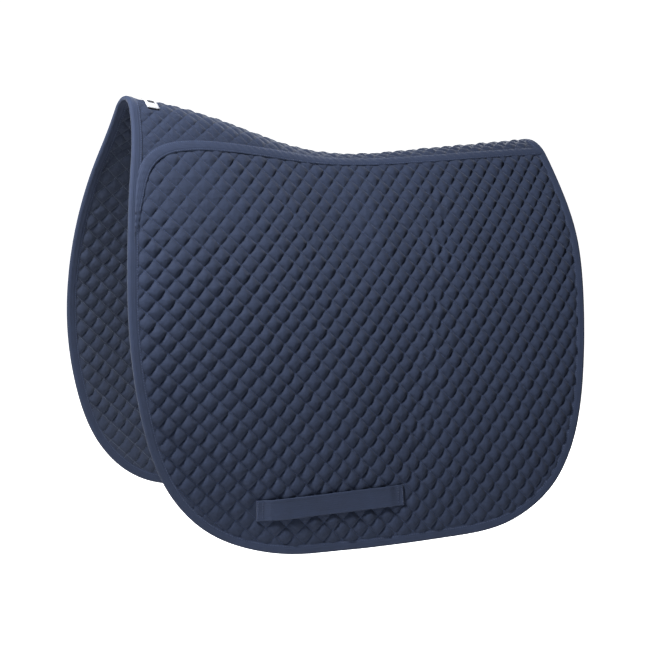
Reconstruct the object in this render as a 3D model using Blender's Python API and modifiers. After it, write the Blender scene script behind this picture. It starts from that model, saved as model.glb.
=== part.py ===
"""Quilted dressage saddle pad, draped as it lies over a horse's back.

Every sheet of the pad is drawn on one flat pattern and then draped. The pattern has two
coordinates: y runs along the spine, front to rear, and s is the distance down from the
crest of the spine, measured over the cloth. drape() turns them into a place in space,
with n the height above the pad's middle layer, outwards positive.

Frame: metres, +Z up, +Y towards the horse's tail, +X to the horse's left. The origin is
under the middle of the spine, where the pad rests on the horse.
"""

import bmesh
import bpy
import numpy as np

# ---- Driving dimensions, in metres and degrees ----

SPINE_LENGTH = 0.580
HALF_SPINE = SPINE_LENGTH / 2
DROP = 0.540                       # crest to hem, over the cloth, where the hem slope is stated

# The drape: the crown is an arc, then the flap steepens towards its hem.
FRONT_CROWN, REAR_CROWN = 0.030, 0.052
FRONT_SHOULDER, REAR_SHOULDER = 56.0, 46.5
FRONT_HEM, REAR_HEM = 97.0, 80.0
STEEPENING = 0.84

# Crest of the spine, (y, height of the middle layer): high withers, low seat, raised cantle.
CREST = [(-0.290, 0.0830), (-0.230, 0.0700), (-0.150, 0.0445), (-0.070, 0.0163),
         (0.010, 0.0036), (0.110, 0.0055), (0.210, 0.0097), (0.290, 0.0135)]

# Outline of one flap on the pattern, (y, s), from the front of the crest to its rear.
OUTLINE = [(-0.290, 0.000), (-0.297, 0.060), (-0.311, 0.125), (-0.327, 0.225), (-0.332, 0.320),
           (-0.322, 0.408), (-0.292, 0.488), (-0.237, 0.537), (-0.175, 0.546), (-0.090, 0.526),
           (0.030, 0.512), (0.125, 0.509), (0.190, 0.470), (0.231, 0.395), (0.262, 0.280),
           (0.285, 0.170), (0.288, 0.090), (0.287, 0.000)]

# Centre of the seam between the yoke and the side panel, (y, s), front edge to rear edge.
SEAM = [(-0.314, 0.170), (-0.300, 0.128), (-0.285, 0.098), (-0.262, 0.078), (-0.230, 0.066),
        (-0.190, 0.0565), (-0.140, 0.045), (-0.090, 0.0345), (-0.040, 0.028), (0.020, 0.0255),
        (0.110, 0.029), (0.210, 0.0325), (0.287, 0.037)]

# Layers: half heights from the middle layer.
BATTING_TOP = 0.0022
SKIN = 0.0008
LAYER_GAP = 0.0003
SKIN_MIDDLE = BATTING_TOP + LAYER_GAP + SKIN / 2

# Edge binding: a tape folded over the panels' edge.
BINDING_WIDTH = 0.012
BINDING_WALL = 0.0009
BINDING_INSIDE = 0.0040            # half height of the room inside the fold
PANEL_INSET = 0.0030               # the panels' edge lies this far inside the binding's fold

# Seam tape.
TAPE_WIDTH = 0.0125
TAPE_BASE, TAPE_TOP = 0.0043, 0.0051
TAPE_CLEARANCE = 0.0007            # to the binding's edge
TAPE_TIP_CUT = 0.0030              # the tape's pointed front tip is cut off this far back
SEAM_GAP = 0.0012                  # each side of the seam, under its tape

# The flaps swing at the seam tape's upper edge.
SWING_GAP = 0.0065                 # between the spine's parts and a flap's
YOKE_CORNER_Y = -0.240             # behind this the tape runs along the swing line
SWING_EASE = 0.030                 # over which the panel's edge moves up to the swing line
SPINE_EDGE_S = 0.050               # about where the swing line meets the front and rear edges

# Corners of the cut pieces, (y, s).
PANEL_TOP_FRONT, PANEL_TOP_REAR = SEAM[3], (0.2845, 0.034)
PANEL_LOW_FRONT, PANEL_LOW_REAR = (-0.270, 0.513), (0.190, 0.468)
PANEL_START = 0.012                # the panel's front edge starts this far below the seam's end
YOKE_FOOT = (-0.307, 0.150)        # lowest point of the yoke's front corner
YOKE_TIP_BACK, YOKE_TIP_DROP = 0.0040, 0.0045    # how the yoke corner's rear tip is blunted

# Girth loop: its two sewn ends on the pattern, and how far its middle stands off.
LOOP_FRONT, LOOP_REAR = (-0.1925, 0.4960), (-0.0115, 0.4517)
LOOP_WIDTH = 0.025
LOOP_TAB, LOOP_RAMP = 0.009, 0.012
LOOP_THICKNESS = 0.0017
LOOP_TAB_BASE, LOOP_BASE = 0.0042, 0.0123

# Label on the near side of the crest.
LABEL_Y, LABEL_S = (-0.2710, -0.2560), (0.0025, 0.0235)
LABEL_BASE, LABEL_TOP = 0.0039, 0.0046

# How finely the sheets are divided.
SIDE_CELLS, YOKE_CELLS, SPINE_CELLS = (15, 15), (4, 6), (14, 12)
ROW_CROWDING = 1.4                 # rows lie closer together at the crown
BINDING_STATIONS, TAPE_STATIONS, SPINE_BINDING_STATIONS = 64, 34, 13
LABEL_STATIONS = 5
LINE_SAMPLES = 200                 # on a line that is cut to length
SWING_SAMPLES = 600                # on the swing line, where its ends are looked for

NAVY = (0.045, 0.060, 0.105)
NAVY_TAPE = (0.055, 0.070, 0.120)
WADDING = (0.80, 0.80, 0.78)
WHITE = (0.80, 0.80, 0.80)


# ---- Curves ----

def spline(knots):
    """Natural cubic spline through (x, value) knots, straight beyond its ends."""
    x, value = np.array(knots, float).T
    step = np.diff(x)
    slope = np.diff(value) / step
    matrix = np.eye(len(x))
    right = np.zeros(len(x))
    for i in range(1, len(x) - 1):
        matrix[i, i - 1:i + 2] = (step[i - 1], 2 * (step[i - 1] + step[i]), step[i])
        right[i] = 6 * (slope[i] - slope[i - 1])
    bend = np.linalg.solve(matrix, right)

    def evaluate(at):
        at = np.asarray(at, float)
        inside = np.clip(at, x[0], x[-1])
        i = np.clip(np.searchsorted(x, inside) - 1, 0, len(step) - 1)
        before, after, h = inside - x[i], x[i + 1] - inside, step[i]
        curve = (bend[i] * after ** 3 + bend[i + 1] * before ** 3) / (6 * h)
        line = (value[i] / h - bend[i] * h / 6) * after
        line += (value[i + 1] / h - bend[i + 1] * h / 6) * before
        first = slope[0] - step[0] * bend[1] / 6
        last = slope[-1] + step[-1] * bend[-2] / 6
        beyond = np.where(at < x[0], first, last) * (at - inside)
        return curve + line + beyond

    return evaluate


def smooth_line(knots, count=400):
    """A dense smooth line through points of the pattern."""
    knots = np.array(knots, float)
    along = np.append(0, np.cumsum(np.linalg.norm(np.diff(knots, axis=0), axis=1)))
    where = np.linspace(0, along[-1], count)
    return np.stack([spline(np.stack([along, knots[:, k]], 1))(where) for k in (0, 1)], 1)


def along_line(line, fraction):
    """Points of a line at fractions of its length."""
    length = np.append(0, np.cumsum(np.linalg.norm(np.diff(line, axis=0), axis=1)))
    where = np.asarray(fraction) * length[-1]
    return np.stack([np.interp(where, length, line[:, k]) for k in (0, 1)], -1)


def line_normals(line):
    """Unit normals of a line: up for one that runs rearwards, inwards for the outline."""
    tangent = np.gradient(line, axis=0)
    tangent /= np.linalg.norm(tangent, axis=1, keepdims=True)
    return np.stack([tangent[:, 1], -tangent[:, 0]], 1)


def nearest(line, point):
    return int(np.argmin(np.linalg.norm(line - np.array(point), axis=1)))


def smooth_step(value, low, high):
    t = np.clip((value - low) / (high - low), 0, 1)
    return t * t * (3 - 2 * t)


crest_height = spline(CREST)
outline = smooth_line(OUTLINE)
seam = smooth_line(SEAM)
swing_line = spline([(y, s - TAPE_WIDTH / 2) for y, s in SEAM if y > YOKE_CORNER_Y])


def front_edge(s):
    """The pad outline's y at its front, at each s."""
    lowest = nearest(outline, max(OUTLINE, key=lambda point: point[1]))
    return np.interp(s, outline[:lowest, 1], outline[:lowest, 0])


def rear_edge(s):
    """The pad outline's y at its rear, at each s."""
    corner = nearest(outline, PANEL_LOW_REAR)
    return np.interp(s, outline[corner:, 1][::-1], outline[corner:, 0][::-1])


# ---- The drape ----

def slope_profile(y):
    """Crown radius and the slopes at the shoulder and the hem, at each y."""
    t = y / SPINE_LENGTH + 0.5
    radius = FRONT_CROWN + (REAR_CROWN - FRONT_CROWN) * t
    shoulder = np.radians(FRONT_SHOULDER + (REAR_SHOULDER - FRONT_SHOULDER) * t)
    hem = np.radians(FRONT_HEM + (REAR_HEM - FRONT_HEM) * t)
    return radius, shoulder, hem


def middle_layer(y, s, steps=48):
    """Places on the pad's middle layer: arrays of y and s become (N, 3)."""
    radius, shoulder, hem = slope_profile(y)
    side, s = np.sign(s), np.abs(s)
    crown = radius * shoulder
    path = np.linspace(0, 1, steps + 1)[:, None] * s
    steeper = np.clip((path - crown) / (DROP - crown), 0, 2) ** STEEPENING
    slope = np.where(path < crown, path / radius, shoulder + (hem - shoulder) * steeper)
    weight = np.ones((steps + 1, 1))
    weight[[0, -1]] = 0.5
    x = (np.cos(slope) * weight).sum(0) * s / steps
    fall = (np.sin(slope) * weight).sum(0) * s / steps
    return np.stack([side * x, y, crest_height(y) - fall], -1)


def drape(y, s, n):
    """Places in space of pattern points at height n above the middle layer."""
    y, s, n = np.broadcast_arrays(*(np.asarray(v, float) for v in (y, s, n)))
    shape, small = y.shape, 1e-4
    y, s, n = y.ravel(), s.ravel(), n.ravel()
    back = middle_layer(y + small, s) - middle_layer(y - small, s)
    down = middle_layer(y, s + small) - middle_layer(y, s - small)
    normal = np.cross(down, back)
    normal *= np.sign(normal[:, 2:] + np.sign(s)[:, None] * normal[:, :1])
    normal /= np.linalg.norm(normal, axis=1, keepdims=True)
    return (middle_layer(y, s) + n[:, None] * normal).reshape(shape + (3,))


# ---- Solids ----

def material(name, color, roughness):
    made = bpy.data.materials.new(name)
    made.use_nodes = True
    shader = made.node_tree.nodes["Principled BSDF"]
    shader.inputs["Base Color"].default_value = (*color, 1.0)
    shader.inputs["Roughness"].default_value = roughness
    shader.inputs["Metallic"].default_value = 0.0
    return made


def add_object(name, mesh_data, color, roughness=0.85):
    """Make an object from a bmesh, with its own material, in the pad's collection."""
    bmesh.ops.recalc_face_normals(mesh_data, faces=mesh_data.faces)
    mesh = bpy.data.meshes.new(name)
    mesh_data.to_mesh(mesh)
    mesh_data.free()
    mesh.materials.append(material(name, color, roughness))
    made = bpy.data.objects.new(name, mesh)
    bpy.data.collections["saddle_pad"].objects.link(made)
    return made


def sheet(name, place, cells, height, thickness, color):
    """A sheet of cloth: a grid draped by place(u, v) and given its thickness by Solidify."""
    grid = bmesh.new()
    bmesh.ops.create_grid(grid, x_segments=cells[0], y_segments=cells[1], size=0.5)
    uv = np.array([vert.co[:2] for vert in grid.verts]) + 0.5
    pattern = place(uv[:, 0], uv[:, 1])
    for vert, co in zip(grid.verts, drape(pattern[:, 0], pattern[:, 1], height)):
        vert.co = co
    made = add_object(name, grid, color)
    solid = made.modifiers.new("thickness", "SOLIDIFY")
    solid.thickness = thickness
    solid.offset = 0
    solid.use_even_offset = True
    return made


def band(name, outer, inner, color):
    """A closed band from two arrays of points, (stations, points across, 3)."""
    mesh_data = bmesh.new()
    skins = [[[mesh_data.verts.new(co) for co in row] for row in skin] for skin in (outer, inner)]
    rings = [top + bottom[::-1] for top, bottom in zip(*skins)]
    around = len(rings[0])
    for here, there in zip(rings, rings[1:]):
        for k in range(around):
            after = (k + 1) % around
            mesh_data.faces.new((here[k], here[after], there[after], there[k]))
    for end in (0, -1):
        top, bottom = skins[0][end], skins[1][end]
        for k in range(len(top) - 1):
            mesh_data.faces.new((top[k], top[k + 1], bottom[k + 1], bottom[k]))
    return add_object(name, mesh_data, color)


def patch(top, bottom, front, rear, crowding=1.0):
    """A Coons patch between four lines of the pattern; u runs rearwards and v downwards."""
    def place(u, v):
        v = v ** crowding
        a, b = along_line(top, u), along_line(bottom, u)
        c, d = along_line(front, v), along_line(rear, v)
        u, v = u[:, None], v[:, None]
        corners = ((1 - u) * (1 - v) * top[0] + u * (1 - v) * top[-1]
                   + (1 - u) * v * bottom[0] + u * v * bottom[-1])
        return (1 - v) * a + v * b + (1 - u) * c + u * d - corners
    return place


def mirrored(place, side):
    """The same pattern region on the left (side 1) or the right (side -1) of the pad."""
    return lambda u, v: place(u, v) * (1, side)


# ---- Regions of the pattern ----

def side_panel_region():
    """Below the seam: the seam is its top, the binding hides its other edges."""
    edge = outline + PANEL_INSET * line_normals(outline)
    eased = smooth_step(seam[:, 0], YOKE_CORNER_Y, YOKE_CORNER_Y + SWING_EASE)
    to_swing = (TAPE_WIDTH / 2 - SEAM_GAP) * eased
    line = seam + (to_swing - SEAM_GAP)[:, None] * line_normals(seam)
    corner = nearest(line, PANEL_TOP_FRONT)
    back = nearest(line, edge[nearest(edge, PANEL_TOP_REAR)])
    joins = nearest(edge, line[0] + (0, PANEL_START))
    front_corner = nearest(edge, PANEL_LOW_FRONT)
    rear_corner = nearest(edge, PANEL_LOW_REAR)
    rear_top = nearest(edge, line[back])
    return patch(
        top=np.vstack([line[corner:back], edge[rear_top]]),
        bottom=edge[front_corner:rear_corner + 1],
        front=np.vstack([line[corner::-1], edge[joins:front_corner + 1]]),
        rear=edge[rear_corner:rear_top + 1][::-1],
        crowding=ROW_CROWDING)


def yoke_region():
    """The yoke's front corner, between the swing line, the front binding and the seam."""
    edge = outline + PANEL_INSET * line_normals(outline)
    line = (seam + SEAM_GAP * line_normals(seam))[::-1]
    y = np.linspace(YOKE_CORNER_Y - 0.12, YOKE_CORNER_Y + 0.04, SWING_SAMPLES)
    swing = np.stack([y, swing_line(y)], 1)
    first = swing[np.argmin([np.linalg.norm(edge - point, axis=1).min() for point in swing])]
    last = swing[np.argmin([np.linalg.norm(line - point, axis=1).min() for point in swing])]
    last = last - (YOKE_TIP_BACK, 0)
    seam_side = line[nearest(line, last + (0, YOKE_TIP_DROP)):nearest(line, YOKE_FOOT)]
    foot = nearest(edge, (front_edge(YOKE_FOOT[1]), YOKE_FOOT[1]))
    front = edge[nearest(edge, first):foot + 1]
    rear = np.vstack([last, seam_side])
    top = np.linspace(front[0], last, 12)
    top[1:-1, 1] = swing_line(top[1:-1, 0])
    return patch(top, np.linspace(front[-1], rear[-1], 5), front, rear)


def spine_region():
    """The yoke along the spine, between the two swing lines; u runs left to right."""
    def place(u, v):
        y = -HALF_SPINE + v * SPINE_LENGTH
        for _ in range(8):             # s depends on y and y on s, so they settle in rounds
            s = (swing_line(y) - SWING_GAP) * (1 - 2 * u)
            low, high = front_edge(np.abs(s)) + PANEL_INSET, rear_edge(np.abs(s)) - PANEL_INSET
            y = low + v * (high - low)
        return np.stack([y, s], -1)
    return place


# ---- Pieces ----

def add_layers(name, place, cells):
    """A quilted panel: outer cloth, wadding and inner cloth."""
    sheet(name + "_cover", place, cells, SKIN_MIDDLE, SKIN, NAVY)
    sheet(name + "_batting", place, cells, 0.0, 2 * BATTING_TOP, WADDING)
    sheet(name + "_lining", place, cells, -SKIN_MIDDLE, SKIN, NAVY)


def binding_section():
    """Across the folded tape: (distance in from the edge, height), outside and inside."""
    high, low = BINDING_INSIDE + BINDING_WALL, BINDING_INSIDE
    wide, wall = BINDING_WIDTH, BINDING_WALL
    outer = [(wide, high), (0, high), (0, -high), (wide, -high)]
    inner = [(wide, low), (wall, low), (wall, -low), (wide, -low)]
    return np.array(outer), np.array(inner)


def add_binding(name, edge, side):
    """Tape folded over an edge of the pad; edge is a line whose normals point into the pad."""
    normals = line_normals(edge)
    skins = []
    for section in binding_section():
        place = edge[:, None] + section[None, :, :1] * normals[:, None]
        skins.append(drape(place[..., 0], side * place[..., 1], section[None, :, 1]))
    band(name, *skins, NAVY_TAPE)


def flap_edge():
    """The part of the outline that a flap carries, in even stations."""
    first = next(i for i, (y, s) in enumerate(outline) if s > swing_line(y))
    last = len(outline) - next(i for i, (y, s) in enumerate(outline[::-1]) if s > swing_line(y))
    return along_line(outline[first:last], np.linspace(0, 1, BINDING_STATIONS))


def add_spine_binding(name, edge_y, outward):
    """Tape over the front or rear edge of the spine, from swing line to swing line."""
    reach = swing_line(float(edge_y(SPINE_EDGE_S))) - SWING_GAP
    s = np.linspace(-reach, reach, SPINE_BINDING_STATIONS) * -outward
    edge = np.stack([edge_y(np.abs(s)), s], 1)
    add_binding(name, edge, 1)


def add_seam_tape(name, side):
    """Flat tape over the seam; at its front and rear it ends at the binding's edge."""
    line = along_line(seam, np.linspace(0, 1, LINE_SAMPLES))
    normals = line_normals(line)
    upper, lower = line + TAPE_WIDTH / 2 * normals, line - TAPE_WIDTH / 2 * normals
    keep = BINDING_WIDTH + TAPE_CLEARANCE
    front, rear = front_edge(line[:, 1]) + keep, rear_edge(line[:, 1]) - keep
    wide = (lower[:, 0] > front + TAPE_TIP_CUT) & (lower[:, 0] < rear) & (upper[:, 0] < rear)
    fraction = np.linspace(0, 1, TAPE_STATIONS)
    upper, lower = along_line(upper[wide], fraction), along_line(lower[wide], fraction)
    limit = front_edge(upper[:, 1]) + keep
    across = np.clip((limit - lower[:, 0]) / (upper[:, 0] - lower[:, 0] - 1e-9), 0, 1)
    held = (upper[:, 0] < limit)[:, None]
    upper = np.where(held, lower + across[:, None] * (upper - lower), upper)
    edges = np.stack([upper, lower], 1)
    skins = [drape(edges[..., 0], side * edges[..., 1], n) for n in (TAPE_TOP, TAPE_BASE)]
    band(name, *skins, NAVY_TAPE)


def add_girth_loop(name, side):
    """Webbing sewn down at both ends; its flat middle stands off the flap."""
    front, rear = np.array(LOOP_FRONT), np.array(LOOP_REAR)
    length = np.linalg.norm(drape(*front, 0.0) - drape(*rear, 0.0))
    half = LOOP_WIDTH / 2
    climb = ((0, LOOP_TAB_BASE), (LOOP_TAB, LOOP_TAB_BASE), (LOOP_TAB + LOOP_RAMP, LOOP_BASE))
    rows = []
    for end, other in ((front, rear), (rear, front)):
        for reach, base in climb:
            at = end + (other - end) * reach / length
            centre = drape(at[0], at[1], base)
            up = drape(at[0], at[1] - half, base) - drape(at[0], at[1] + half, base)
            rows.append([centre, up / np.linalg.norm(up)])
    rows = rows[:3] + rows[:2:-1]
    chord = rows[3][0] - rows[2][0]
    chord /= np.linalg.norm(chord)
    level = rows[2][1] + rows[3][1]
    level -= chord * np.dot(level, chord)
    level /= np.linalg.norm(level)
    rows[2][1] = rows[3][1] = level
    outer, inner = [], []
    for centre, up in rows:
        out = np.cross(chord, up)
        out *= np.sign(out[0])
        low = [centre + up * half, centre - up * half]
        inner.append(low)
        outer.append([point + out * LOOP_THICKNESS for point in low])
    mirror = np.array((side, 1, 1))
    band(name, np.array(outer) * mirror, np.array(inner) * mirror, NAVY_TAPE)


def add_label(name):
    """A small blank woven label, sewn flat on the crest."""
    s = np.linspace(*LABEL_S, LABEL_STATIONS)
    skins = [np.stack([drape(y, s, n) for y in LABEL_Y], 1) for n in (LABEL_TOP, LABEL_BASE)]
    band(name, *skins, WHITE)


def clear_scene():
    for thing in list(bpy.data.objects):
        bpy.data.objects.remove(thing, do_unlink=True)
    collection = bpy.data.collections.new("saddle_pad")
    bpy.context.scene.collection.children.link(collection)


def main():
    clear_scene()
    add_layers("yoke", spine_region(), SPINE_CELLS)
    for name, side in (("left", 1), ("right", -1)):
        add_layers(name + "_panel", mirrored(side_panel_region(), side), SIDE_CELLS)
        add_layers(name + "_yoke", mirrored(yoke_region(), side), YOKE_CELLS)
        add_seam_tape(name + "_seam_tape", side)
        add_binding(name + "_edge_binding", flap_edge(), side)
        add_girth_loop(name + "_girth_loop", side)
    add_spine_binding("withers_binding", front_edge, -1)
    add_spine_binding("cantle_binding", rear_edge, 1)
    add_label("woven_label")


main()
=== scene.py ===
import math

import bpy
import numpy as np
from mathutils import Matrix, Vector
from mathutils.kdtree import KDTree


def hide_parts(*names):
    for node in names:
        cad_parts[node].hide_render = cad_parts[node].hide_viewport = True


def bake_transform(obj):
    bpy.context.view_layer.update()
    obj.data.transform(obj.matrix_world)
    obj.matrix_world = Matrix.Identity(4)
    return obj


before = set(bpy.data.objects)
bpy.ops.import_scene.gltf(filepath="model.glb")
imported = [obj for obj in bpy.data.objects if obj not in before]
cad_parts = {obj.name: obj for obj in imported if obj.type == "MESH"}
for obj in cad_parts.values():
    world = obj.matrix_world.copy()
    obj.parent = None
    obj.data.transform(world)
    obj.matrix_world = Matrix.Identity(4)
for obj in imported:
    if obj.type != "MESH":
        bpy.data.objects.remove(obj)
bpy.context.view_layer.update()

# Looks of a quilted cotton dressage saddle pad, built around its imported CAD frame.
#
# Every sheet is drawn on one flat pattern and draped. On the pattern y runs along the spine,
# front to rear, s is the distance down from the crest measured over the cloth, and n is the
# height above the pad's middle layer, outwards positive. The pattern, the crest and the drape
# are the CAD part's own. Each side of the pad is built up to the crest and drapes from the
# spine down to its flap. side is 1 on the left and -1 on the right. Lengths are in metres.

# ---- The CAD part's dimensions, with angles in degrees ----

SPINE_LENGTH = 0.580
DROP = 0.540
FRONT_CROWN, REAR_CROWN = 0.030, 0.052
FRONT_SHOULDER, REAR_SHOULDER = 56.0, 46.5
FRONT_HEM, REAR_HEM = 97.0, 80.0
STEEPENING = 0.84
CREST = [(-0.290, 0.0830), (-0.230, 0.0700), (-0.150, 0.0445), (-0.070, 0.0163),
         (0.010, 0.0036), (0.110, 0.0055), (0.210, 0.0097), (0.290, 0.0135)]
OUTLINE = [(-0.290, 0.000), (-0.297, 0.060), (-0.311, 0.125), (-0.327, 0.225), (-0.332, 0.320),
           (-0.322, 0.408), (-0.292, 0.488), (-0.237, 0.537), (-0.175, 0.546), (-0.090, 0.526),
           (0.030, 0.512), (0.125, 0.509), (0.190, 0.470), (0.231, 0.395), (0.262, 0.280),
           (0.285, 0.170), (0.288, 0.090), (0.287, 0.000)]
SEAM = [(-0.3225, 0.1955), (-0.314, 0.170), (-0.300, 0.128), (-0.285, 0.098), (-0.262, 0.078),
        (-0.230, 0.066), (-0.190, 0.0565), (-0.140, 0.045), (-0.090, 0.0345), (-0.040, 0.028),
        (0.020, 0.0255), (0.110, 0.029), (0.210, 0.0325), (0.290, 0.0372)]
LOOP_FRONT, LOOP_REAR = (-0.1925, 0.4960), (-0.0115, 0.4517)
LOOP_LENGTH = math.dist(LOOP_FRONT, LOOP_REAR)
LOOP_WIDTH = 0.025
LABEL_Y, LABEL_S = (-0.2710, -0.2560), (0.0025, 0.0235)
PATTERN_Y, PATTERN_S = (-0.335, 0.290), (0, 0.550)     # a box that holds the whole pattern
TINY = 1e-6                        # lengths and lattice steps below this count as none

# ---- The cloth ----

PITCH = 0.0170                     # between the panels' quilting lines, at the front
YOKE_PITCH = 0.0128
QUILT_TURN = math.radians(3.0)     # the panels' rows, off the bias
CLOSING_FROM, CLOSING = -0.22, 0.45    # where the rows start to close up, and how fast, per metre
QUILT_STEPS = (0.0, 0.05, 0.18, 0.38, 0.62, 0.82, 0.95)
WADDING_STEPS = (0.0, 0.18, 0.38, 0.62, 0.82)
STITCHED = 0.0013                  # half thickness along a quilting line
OUTER_LOFT, INNER_LOFT = 0.0050, 0.0040
YOKE_LOFT = 0.0024
SAG = 1.06                         # above 1, pillows hang fuller at their lower end
DOME = (0.76, 0.80)                # powers that round a pillow's top, across and along its rows
LEANING, UNEVEN, CRUMPLED = 0.4, 0.18, 0.055       # how much the pillows differ, as shares of loft
PANEL_EASE, YOKE_EASE = 0.0070, 0.0130             # over which pillows rise beside a sewn edge
PUCKER = 0.0004
CLOTH = 0.0008                     # from a cover to the wadding under it
SHEET_EDGE = (0.0025, 0.0004)      # the sheets' edges: inside the binding's fold, beside the seam
WADDING_EDGE = (0.0045, 0.0030)
BINDING_WIDTH = 0.0120
BINDING_SEWN = 0.0104              # the binding's stitching, in from the fold
TAPE_WIDTH = 0.0125
TAPE_SEWN = 0.0049                 # the tape's stitching, each side of the seam


# ---- Curves ----

def spline(knots):
    """Natural cubic spline through (x, value) knots, straight beyond its ends."""
    x, value = np.array(knots, float).T
    step = np.diff(x)
    slope = np.diff(value) / step
    matrix = np.eye(len(x))
    right = np.zeros(len(x))
    for i in range(1, len(x) - 1):
        matrix[i, i - 1:i + 2] = step[i - 1], 2 * (step[i - 1] + step[i]), step[i]
        right[i] = 6 * (slope[i] - slope[i - 1])
    bend = np.linalg.solve(matrix, right)

    def evaluate(at):
        at = np.asarray(at, float)
        inside = np.clip(at, x[0], x[-1])
        i = np.clip(np.searchsorted(x, inside) - 1, 0, len(step) - 1)
        before, after, h = inside - x[i], x[i + 1] - inside, step[i]
        curve = (bend[i] * after ** 3 + bend[i + 1] * before ** 3) / (6 * h)
        line = (value[i] / h - bend[i] * h / 6) * after
        line = line + (value[i + 1] / h - bend[i + 1] * h / 6) * before
        first = slope[0] - step[0] * bend[1] / 6
        last = slope[-1] + step[-1] * bend[-2] / 6
        return curve + line + np.where(at < x[0], first, last) * (at - inside)

    return evaluate


def smooth_line(knots, count):
    """A dense smooth line through points of the pattern, in even steps."""
    knots = np.array(knots, float)
    along = line_length(knots)
    where = np.linspace(0, along[-1], count * 3)
    line = np.stack([spline(np.stack([along, knots[:, k]], 1))(where) for k in (0, 1)], 1)
    return resampled(line, count)


def line_length(line):
    return np.append(0, np.cumsum(np.linalg.norm(np.diff(line, axis=0), axis=1)))


def values_at(where, length, values):
    """Rows of values at some lengths along a line, given the length at each row."""
    return np.stack([np.interp(where, length, column) for column in values.T], 1)


def resampled(line, count):
    length = line_length(line)
    return values_at(np.linspace(0, length[-1], count), length, line)


def line_normals(line):
    """Unit normals of a line of the pattern: inwards for the outline, up for the seam."""
    tangent = np.gradient(line, axis=0)
    tangent /= np.linalg.norm(tangent, axis=1, keepdims=True)
    return np.stack([tangent[:, 1], -tangent[:, 0]], 1)


def smooth_step(value, low, high):
    t = np.clip((value - low) / (high - low), 0, 1)
    return t * t * (3 - 2 * t)


def band(value, begin, full, fade, end):
    """Rises from 0 to 1 between begin and full, and falls back between fade and end."""
    return smooth_step(value, begin, full) * (1 - smooth_step(value, fade, end))


def bump(value, centre, width):
    return np.exp(-((value - centre) / width) ** 2)


crest_height = spline(CREST)
outline = smooth_line(OUTLINE, 1600)
seam = smooth_line(SEAM, 700)


class Nearest:
    """Distance from pattern points to a line, with the place along it."""

    def __init__(self, line):
        self.line, self.length = line, line_length(line)
        self.tree = KDTree(len(line))
        for i, (y, s) in enumerate(line):
            self.tree.insert((y, s, 0), i)
        self.tree.balance()

    def find(self, points):
        found = [self.tree.find((y, s, 0)) for y, s in points]
        index = np.array([i for _, i, _ in found])
        return np.array([d for _, _, d in found]), index


near_outline, near_seam = Nearest(outline), Nearest(seam)


def inside_pad(points):
    """Whether pattern points lie inside the pad's outline, on one side of the crest."""
    ring = outline[::5]
    ring = np.vstack([ring, outline[-1:]])
    y, s = points.T
    inside = np.zeros(len(points), bool)
    for (y0, s0), (y1, s1) in zip(ring, np.roll(ring, -1, axis=0)):
        if s0 != s1:
            crosses = (s0 > s) != (s1 > s)
            inside ^= crosses & (y < (y1 - y0) * (s - s0) / (s1 - s0) + y0)
    return inside


# ---- The drape ----

def slope_profile(y):
    """Crown radius and the slopes at the shoulder and the hem, at each y."""
    t = y / SPINE_LENGTH + 0.5
    radius = FRONT_CROWN + (REAR_CROWN - FRONT_CROWN) * t
    shoulder = np.radians(FRONT_SHOULDER + (REAR_SHOULDER - FRONT_SHOULDER) * t)
    hem = np.radians(FRONT_HEM + (REAR_HEM - FRONT_HEM) * t)
    return radius, shoulder, hem


def middle_layer(y, s, steps=48):
    """Places on the pad's middle layer, for s from the crest down the left side."""
    radius, shoulder, hem = slope_profile(y)
    crown = radius * shoulder
    path = np.linspace(0, 1, steps + 1)[:, None] * s
    steeper = np.clip((path - crown) / (DROP - crown), 0, 2) ** STEEPENING
    slope = np.where(path < crown, path / radius, shoulder + (hem - shoulder) * steeper)
    weight = np.ones((steps + 1, 1))
    weight[[0, -1]] = 0.5
    x = (np.cos(slope) * weight).sum(0) * s / steps
    fall = (np.sin(slope) * weight).sum(0) * s / steps
    return np.stack([x, y, crest_height(y) - fall], -1)


# Folds of the draped flap: (height, y, half width).
HIGH_FOLDS = ((0.0016, 0.010, 0.022), (-0.0012, 0.048, 0.020),
              (0.0015, 0.128, 0.026), (-0.0010, 0.172, 0.022))
LEANING_LOW_FOLD, UPRIGHT_LOW_FOLD = (0.0016, 0.062, 0.024), (-0.0012, 0.012, 0.028)
# Faint waves over the whole flap: (radians per metre along y, along s, height).
WAVES = ((23, 9, 0.0006), (37, -14, 0.0005), (51, 22, 0.0004), (71, -35, 0.0003))
WAVE_SHIFT, RIGHT_SHIFT = 1.9, 1.7     # radians, from wave to wave and from side to side


def soft_folds(y, s, side):
    """How far the cloth's own gentle folds lift it off the smooth drape."""
    lean = 0.10 * (s - 0.10)
    high = sum(height * bump(y, place - lean, width) for height, place, width in HIGH_FOLDS)
    height, place, width = LEANING_LOW_FOLD
    low = height * bump(y, place + 0.2 * (s - 0.32), width)
    height, place, width = UPRIGHT_LOW_FOLD
    low = low + height * bump(y, place, width)
    behind = crumples(y, s, height=0.0009, lean=0.30, turns=560, wander=5, wander_turns=21)
    behind = behind * bump(y, 0.100 - 0.30 * (s - 0.10), 0.022) * smooth_step(s, 0.05, 0.09)
    front = crumples(y, s, height=0.0005, lean=0.10, turns=660, wander=4, wander_turns=30)
    front = front * bump(y, -0.105, 0.018) * band(s, 0.06, 0.09, 0.14, 0.20)
    folds = high * band(s, 0.03, 0.07, 0.13, 0.24) + low * band(s, 0.20, 0.29, 0.36, 0.46)
    folds = folds + (behind + front) * (1 - smooth_step(s, 0.38, 0.50))
    shift = 0.0 if side > 0 else RIGHT_SHIFT
    for k, (along_y, along_s, height) in enumerate(WAVES):
        wave = np.sin(along_y * y + along_s * s + WAVE_SHIFT * k + shift)
        folds = folds + height * wave * smooth_step(s, 0.02, 0.12)
    return folds


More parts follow.
